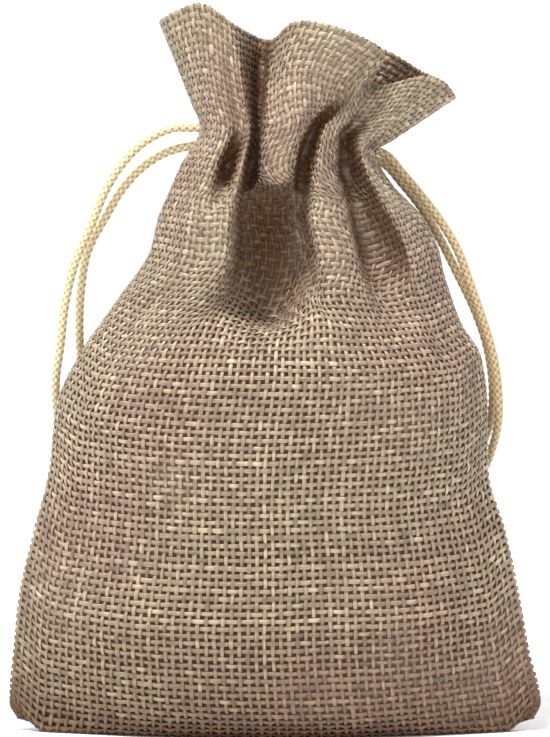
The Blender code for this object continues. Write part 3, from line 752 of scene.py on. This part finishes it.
# %% Sizes of the weave
WARPS = 136  # round the sack
WEFTS = 107  # from the bottom fold to the rim
WARP_PITCH = 2.0 * PANEL / WARPS
WEFT_PITCH = LENGTH / WEFTS
WARP_WIDE = 0.69
WEFT_WIDE = 0.78
WAVE = 0.19  # how far a yarn rises and dips
CROWN = 0.16  # how much a yarn's middle stands above its edges
YARN_DEPTH = 0.30  # of the outer layer's middle, under the plain model's face
HEM_DEPTH = 1.0  # of the inner layer's middle, in the doubled heading
HEM = 14.5  # how far the doubled heading shows down inside
STEPS = 4  # of a ribbon, from one crossing to the next
WIDEST_HALF = 0.485  # of a pitch, so that neighbours never touch
WARP_DRIFT = 0.07  # how far a yarn wanders
WEFT_DRIFT = 0.06
LOWEST = 0.03  # of any yarn, over the floor
YARN_APART = 7.3  # so that no two yarns share their streaks
SEAM_PRESS = 0.8  # share of the rise that the sewing takes away
SEAM_REACH = 2.0
ACROSS = np.array((-1.0, -0.42, 0.42, 1.0))  # places across a ribbon, in halves of its width
CROWNS = CROWN * np.array((-0.6, 0.4, 0.4, -0.6))

rim_radius = 0.5 * (HEM_DEPTH - YARN_DEPTH)
rim_start = LENGTH - rim_radius - WAVE
rim_end = rim_start + np.pi * rim_radius
along_end = rim_end + HEM


# %% Find a place on the cloth
def read(grid, cloth, up):
    """A grid's values between its points, at places given in millimetres."""
    column = (cloth % (2.0 * PANEL)) * COLUMNS / PANEL
    row = np.clip(up / (ups[1] - ups[0]), 0.0, len(ups) - 1.001)
    j, i = np.floor(column).astype(int), np.floor(row).astype(int)
    s, t = (column - j)[..., None], (row - i)[..., None]
    k, j = (j + 1) % (2 * COLUMNS), j % (2 * COLUMNS)
    flat = grid.reshape(*grid.shape[:2], -1)
    low = (1.0 - s) * flat[i, j] + s * flat[i, k]
    high = (1.0 - s) * flat[i + 1, j] + s * flat[i + 1, k]
    return (1.0 - t) * low + t * high


def over_rim(along):
    """Height up the cloth and turn over the rim, for a place along a warp."""
    turn = np.clip((along - rim_start) / rim_radius, 0.0, np.pi)
    down = np.clip(along - rim_end, 0.0, None)
    return np.minimum(along, rim_start) + rim_radius * np.sin(turn) - down, turn


def on_cloth(cloth, along, lift):
    """A point on the sack. along goes up outside, over the rim and down inside."""
    up, turn = over_rim(along)
    up = up + lift * np.sin(turn)
    depth = YARN_DEPTH + rim_radius * (1.0 - np.cos(turn)) - lift * np.cos(turn)
    point = read(outer, cloth, up) + depth[..., None] * read(inward, cloth, up)
    point[..., 2] = np.maximum(point[..., 2], LOWEST)
    return point


# %% Turn the blocked rays into painted shade in the folds
OPEN_SHARE = 0.30  # of the rays blocked, where a yarn still looks as light as any
DEEP_SHARE = 0.80  # and where it is as dark as it gets
# Painted shade also darkens the heading's inner side, and the foot where the sack curves under.
INSIDE_SHADE = 0.7  # of the heading's inner side
INSIDE_FROM = 0.4 * np.pi  # turn over the rim, where the inner side begins
BASE = 9.0  # of the cloth lies flat under the sack
FOOT_SHADE = 0.95  # where the sack curves under to the ground
FOOT_TALL = 14.0
# Hardly any light reaches the hollow under the middle fold, or the gap to its left. These two are
# placed one by one.
# Each hollow below adds a patch of painted shade.
Hollow = namedtuple("Hollow", "name cloth span x z wide tall depth")
HOLLOWS = (
    Hollow("under_fold", 45.0, 22.0, -1.4, 90.5, 5.4, 11.0, 0.95),
    Hollow("left_gap", 32.0, 9.0, -3.6, 119.0, 3.6, 11.0, 0.85),
)


def painted_shade_depth(cloth, along):
    """Painted shade: 0 where the cloth lies open, up to 1 deep in a fold, at the foot or inside the
    heading.
    """
    up, turn = over_rim(along)
    deep = smooth_step((read(shade, cloth, up)[..., 0] - OPEN_SHARE) / (DEEP_SHARE - OPEN_SHARE))
    under = FOOT_SHADE * np.exp(-np.clip(up - BASE, 0.0, None) / FOOT_TALL)
    inside = INSIDE_SHADE * smooth_step((turn - INSIDE_FROM) / INSIDE_FROM)
    found = np.maximum.reduce([deep, under, inside])
    spot = read(outer, cloth, up)
    for hollow in HOLLOWS:
        across = (spot[..., 0] - hollow.x) / hollow.wide
        upward = (spot[..., 2] - hollow.z) / hollow.tall
        on_side = np.abs(cloth - hollow.cloth) < hollow.span
        found = np.maximum(found, hollow.depth * np.exp(-(across**4 + upward**4)) * on_side)
    return found


# %% Small irregularities of a yarn
MEAN_TONE = 0.465

rng = np.random.default_rng(7)


def wander(count, along, size, waves=(34.0, 13.0, 6.5)):
    """A slow random drift for each of count yarns, along its length."""
    total = np.zeros((count, len(along)))
    for wave in waves:
        wave = wave * rng.uniform(0.75, 1.3, (count, 1))
        phase = rng.uniform(0.0, 2.0 * np.pi, (count, 1))
        total += np.sin(2.0 * np.pi * along[None, :] / wave + phase)
    return size * total / len(waves) ** 0.5


def yarn_width(count, along, wide):
    """Width of each yarn along its length: some are thick, some thin, none quite even."""
    own = np.clip(rng.normal(1.0, 0.07, (count, 1)), 0.82, 1.2)
    return wide * own * (1.0 + wander(count, along, 0.07, (21.0, 8.0, 3.7)))


def yarn_tone(count, along, pitch):
    """Lightness of each yarn along its length, with a random jump from crossing to crossing that
    partly paints highlights.
    """
    own = rng.normal(MEAN_TONE, 0.06, (count, 1))
    crossing = np.floor(along / pitch).astype(int)
    # Each crossing is randomly lighter or darker: random tone, and painted highlights where it
    # comes out lighter.
    tone_and_glint_jump = rng.normal(0.0, 0.10, (count, crossing.max() + 1))[:, crossing]
    return np.clip(own + tone_and_glint_jump + wander(count, along, 0.08, (17.0, 7.0, 3.1)), 0.0, 1.0)


# %% Weave the warp and the weft
def pressed(cloth):
    """Share of its rise that a yarn keeps: the sewing flattens it at the side seams."""
    off = np.minimum(cloth % PANEL, PANEL - cloth % PANEL)
    return 1.0 - SEAM_PRESS * np.exp(-((off / SEAM_REACH) ** 2))


def ribbon_piece(name, cloth, along, wave, width, tone, run, turned, material):
    """A set of ribbons as one mesh. Its place is across the ribbon and along it, in millimetres."""
    cloth, along = np.broadcast_arrays(cloth, along)
    points = on_cloth(cloth, along, (wave[..., None] + CROWNS) * pressed(cloth))
    faces = grid_faces(*cloth.shape)
    if turned:
        faces = faces[:, ::-1]
    uv = np.empty((*cloth.shape, 2))
    uv[..., 0] = 0.5 * width[..., None] * ACROSS + YARN_APART * np.arange(len(cloth))[:, None, None]
    uv[..., 1] = run[None, :, None]
    tones = np.broadcast_to(tone[..., None], cloth.shape)
    # The painted shade is stored as deep, for the finish to multiply in.
    values = {"tone": tones, "deep": painted_shade_depth(cloth, along)}
    return mesh_piece(name, points, faces, material, values, uv)


def weave_warp(name, first, material):
    """Ribbons that go up half of the sack, over the rim and down inside."""
    run = np.linspace(0.0, along_end, int(round(along_end / WEFT_PITCH * STEPS)) + 1)
    number = np.arange(first, first + WARPS // 2)
    middle = (number[:, None] + 0.5) * WARP_PITCH + wander(len(number), run, WARP_DRIFT)
    width = yarn_width(len(number), run, WARP_WIDE)
    tone = yarn_tone(len(number), run, WEFT_PITCH)
    pull = read(round_pull, middle, np.broadcast_to(over_rim(run)[0], middle.shape))[..., 0]
    half = np.minimum(0.5 * width / pull, WIDEST_HALF * WARP_PITCH)
    cloth = middle[..., None] + half[..., None] * ACROSS
    wave = WAVE * np.cos(np.pi * (run / WEFT_PITCH - 0.5 + number[:, None]))
    return ribbon_piece(name, cloth, run[:, None], wave, width, tone, run, False, material)


def weave_weft(name, start, material):
    """Ribbons that go round half of the sack, from one side seam to the other."""
    run = start + np.linspace(0.0, PANEL, WARPS // 2 * STEPS + 1)
    number = np.arange(int(along_end / WEFT_PITCH))
    middle = (number[:, None] + 0.5) * WEFT_PITCH + wander(len(number), run, WEFT_DRIFT)
    width = yarn_width(len(number), run, WEFT_WIDE)
    tone = yarn_tone(len(number), run, WARP_PITCH)
    pull = read(up_pull, np.broadcast_to(run, middle.shape), over_rim(middle)[0])[..., 0]
    half = np.minimum(0.5 * width / pull, WIDEST_HALF * WEFT_PITCH)
    along = middle[..., None] + half[..., None] * ACROSS
    wave = -WAVE * np.cos(np.pi * (run / WARP_PITCH - 0.5 + number[:, None]))
    return ribbon_piece(name, run[:, None], along, wave, width, tone, run, True, material)


# %% [markdown]
# ## Yarn finish
# The yarn is a flat tape of pale, slightly glossy fibre with fine splits along it. The tone of each
# yarn comes from the attribute that the weaving stored, so neighbours differ a little. Streaks run
# along the yarn, because the noise is stretched that way, and the same streaks roughen it. The
# highlights on top of the crossings come from a fairly low roughness, and on some crossings from
# painted highlights in the tone. Every few centimetres the cloth turns a little pinker or yellower.
# In the folds a brown is multiplied in as painted shade, as far as the stored depth says, because
# light that bounces from yarn to yarn takes their colour.

# %% Make the yarn's finish
STREAKS = 3.4  # across one millimetre of yarn
STREAK_RUN = 0.35  # how often a streak changes along one millimetre
STREAK_HIGH = 0.06
# Painted shade in the folds: the colour is multiplied toward this brown.
FOLD_SHADE_COLOUR = "a07c52"  # cloth lit only by other cloth takes its colour twice
TINT_SCALE = 32.0  # a patch of pinker or yellower yarn is about 30 mm across


def paint_fold_shade(material, colour):
    """The colour of cloth with painted shade: darker and browner the deeper it lies in a fold."""
    links = {"Factor": stored(material, "deep"), "A": colour}
    return multiply(material, {"B": linear(FOLD_SHADE_COLOUR)}, links)


def yarn_finish(name, dark, middle, light):
    """Tape yarn in three tones, with streaks along it, patches of a slightly other tint and painted
    fold shade.
    """
    material, shader = new_material(name, {"Sheen Weight": 0.1})
    place = add_node(material, "ShaderNodeUVMap", uv_map="place").outputs["UV"]
    values = {"Scale": (STREAKS, STREAK_RUN, 1.0)}
    run = add_node(material, "ShaderNodeMapping", values, {"Vector": place}).outputs["Vector"]
    streak = noise(material, run, {"Scale": 1.0, "Detail": 3.0, "Roughness": 0.6})
    links = {"A": stored(material, "tone"), "B": streak}
    mixed = add_node(material, "ShaderNodeMix", {"Factor": 0.5}, links).outputs["Result"]
    colour = ramp(material, mixed, ((0.28, dark), (0.5, middle), (0.72, light)))
    spot = add_node(material, "ShaderNodeTexCoord").outputs["Object"]
    patch = noise(material, spot, {"Scale": TINT_SCALE, "Detail": 1.0})
    tint = ramp(material, patch, ((0.38, "fafcf2"), (0.62, "f3e6e2")))
    tinted = multiply(material, {"Factor": 1.0}, {"A": colour, "B": tint})
    links = {
        "Base Color": paint_fold_shade(material, tinted),
        "Normal": bump(material, 0.5, STREAK_HIGH, streak),
        "Roughness": spread(material, streak, 0.3, 0.55),
    }
    join(shader, links)
    return material


tape_yarn = yarn_finish("flat_tape_yarn", "66594a", "91816d", "c3b49c")
weave = [
    weave_warp("warp_front", 0, tape_yarn),
    weave_warp("warp_back", WARPS // 2, tape_yarn),
    weave_weft("weft_front", 0.0, tape_yarn),
    weave_weft("weft_back", PANEL, tape_yarn),
]

# %% [markdown]
# ## Ground of the cloth: painted shade of the inside
# The holes of a filled sack look into its shaded inside, and read as small dark brown squares.
# That shade is painted, on a dark sheet.
# A thin sheet just under the yarns stands in for that dark inside, from every side. It is paler
# toward the mouth, where the holes of the doubled heading show its second layer. Its edges are
# open at the side seams, as the cloth was cut.

# %% Lay the ground
GROUND_DEPTH = 0.66
GROUND_STEP = 1.0
CORNER_TUCK = 1.4  # further in at the bottom corners, where the sewing pulls it
TUCK_WIDE = 2.5
TUCK_TALL = 9.0
GROUND_END = 148.2
SHOULDER_UP = 84.0  # the yarns crowd above here, and hide more of the inside
DOUBLED_UP = 118.0  # the heading is doubled above here
BODY_TONE = 0.3
SIDE_TONE = 0.35
PATCH_SCALE = 40.0  # to the metre, so a darker patch is about 25 mm across


def inside_shade_finish(name):
    """Painted shade of the inside: patches lighter and darker than the tone stored at the points.
    """
    values = {"Roughness": 0.9, "Specular IOR Level": 0.2}
    material, shader = new_material(name, values)
    spot = add_node(material, "ShaderNodeTexCoord").outputs["Object"]
    patch = noise(material, spot, {"Scale": PATCH_SCALE, "Detail": 2.0})
    links = {0: stored(material, "tone"), 1: spread(material, patch, -0.22, 0.3, 0.3, 0.7)}
    tone = add_node(material, "ShaderNodeMath", links=links, operation="ADD").outputs["Value"]
    colour = ramp(material, tone, ((0.0, "42291c"), (0.45, "5f3f30"), (1.0, "a8957e")))
    join(shader, {"Base Color": paint_fold_shade(material, colour)})
    return material


inside_shade_material = inside_shade_finish("shaded_weave_ground")
ground_along = np.linspace(0.0, GROUND_END, int(GROUND_END / GROUND_STEP) + 1)
panels, ground_painted_shade = [], []
for start in (0.0, PANEL):
    across = start + np.linspace(0.0, PANEL, int(PANEL / GROUND_STEP) + 1)
    cloth, along = np.meshgrid(across, ground_along)
    sheet = on_cloth(cloth, along, np.full(cloth.shape, YARN_DEPTH - GROUND_DEPTH))
    seam_off = np.minimum(cloth - start, start + PANEL - cloth)
    tucked = CORNER_TUCK * np.exp(-((seam_off / TUCK_WIDE) ** 2) - (along / TUCK_TALL) ** 2)
    sheet[..., 0] -= np.sign(sheet[..., 0]) * tucked
    sheet[..., 2] += 0.5 * tucked
    panels.append(sheet)
    ground_painted_shade.append(painted_shade_depth(cloth, along))
# Painted shade of the inside: paler toward the mouth and toward the side seams.
doubled = smooth_step((ground_along - SHOULDER_UP) / (DOUBLED_UP - SHOULDER_UP))
toward_side = np.linspace(-1.0, 1.0, panels[0].shape[1]) ** 2
paler = np.maximum(doubled[:, None], SIDE_TONE * toward_side)
inside_shade_tone = BODY_TONE + (1.0 - BODY_TONE) * paler
values = {"tone": (inside_shade_tone, inside_shade_tone), "deep": ground_painted_shade}
faces = grid_faces(2, *panels[0].shape[:2])
# The dark sheet is painted shade for the inside seen through the holes.
ground = mesh_piece("inside_shade_sheet", np.array(panels), faces, inside_shade_material, values)

for piece in [ground, *weave]:
    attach(piece, "root")
    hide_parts("sack_cloth")

# %% [markdown]
# ## Floor and light
# The picture is taken as in a white tent: a wide pale floor, even white light from all round, and
# one lamp that is brighter, high on the left in front. The tent's light keeps the ground white in
# every view and leaves only the folds dark, where little of it gets in. The lamp gives the belly
# its roundness and each yarn a small shadow.

# %% Lay the floor
HALF_FLOOR = 30000.0  # so wide that no view shows its edge

corners = HALF_FLOOR * np.array([[(-1, -1, 0), (1, -1, 0)], [(-1, 1, 0), (1, 1, 0)]])
values = {"Base Color": linear("f1f1f1"), "Roughness": 0.95, "Specular IOR Level": 0.1}
paper, _ = new_material("matt_backdrop_paper", values)
floor = mesh_piece("floor", corners, grid_faces(1, 2, 2), paper)

# %% Hang the lamp and light the tent
KEY_PLACE = Vector((-0.28, -0.36, 1.04))  # in metres
KEY_WIDE = 0.20
KEY_POWER = 15.0
KEY_AIM = Vector((0.0, 0.0, 0.07))
TENT = 1.18

key_light = bpy.data.lights.new("key", "AREA")
key_light.shape = "DISK"
key_light.size = KEY_WIDE
key_light.energy = KEY_POWER
key_light.color = linear("fffcf9")[:3]
key_lamp = bpy.data.objects.new("key", key_light)
bpy.context.scene.collection.objects.link(key_lamp)
key_lamp.location = KEY_PLACE
key_lamp.rotation_euler = (KEY_AIM - KEY_PLACE).to_track_quat("-Z", "Y").to_euler()

world = bpy.data.worlds.new("white_tent")
world.use_nodes = True
tent_inputs = world.node_tree.nodes["Background"].inputs
tent_inputs["Color"].default_value = linear("ffffff")
tent_inputs["Strength"].default_value = TENT
bpy.context.scene.world = world
bpy.context.scene.view_settings.view_transform = "Standard"
print("key lamp", KEY_POWER, "W, tent light", TENT)
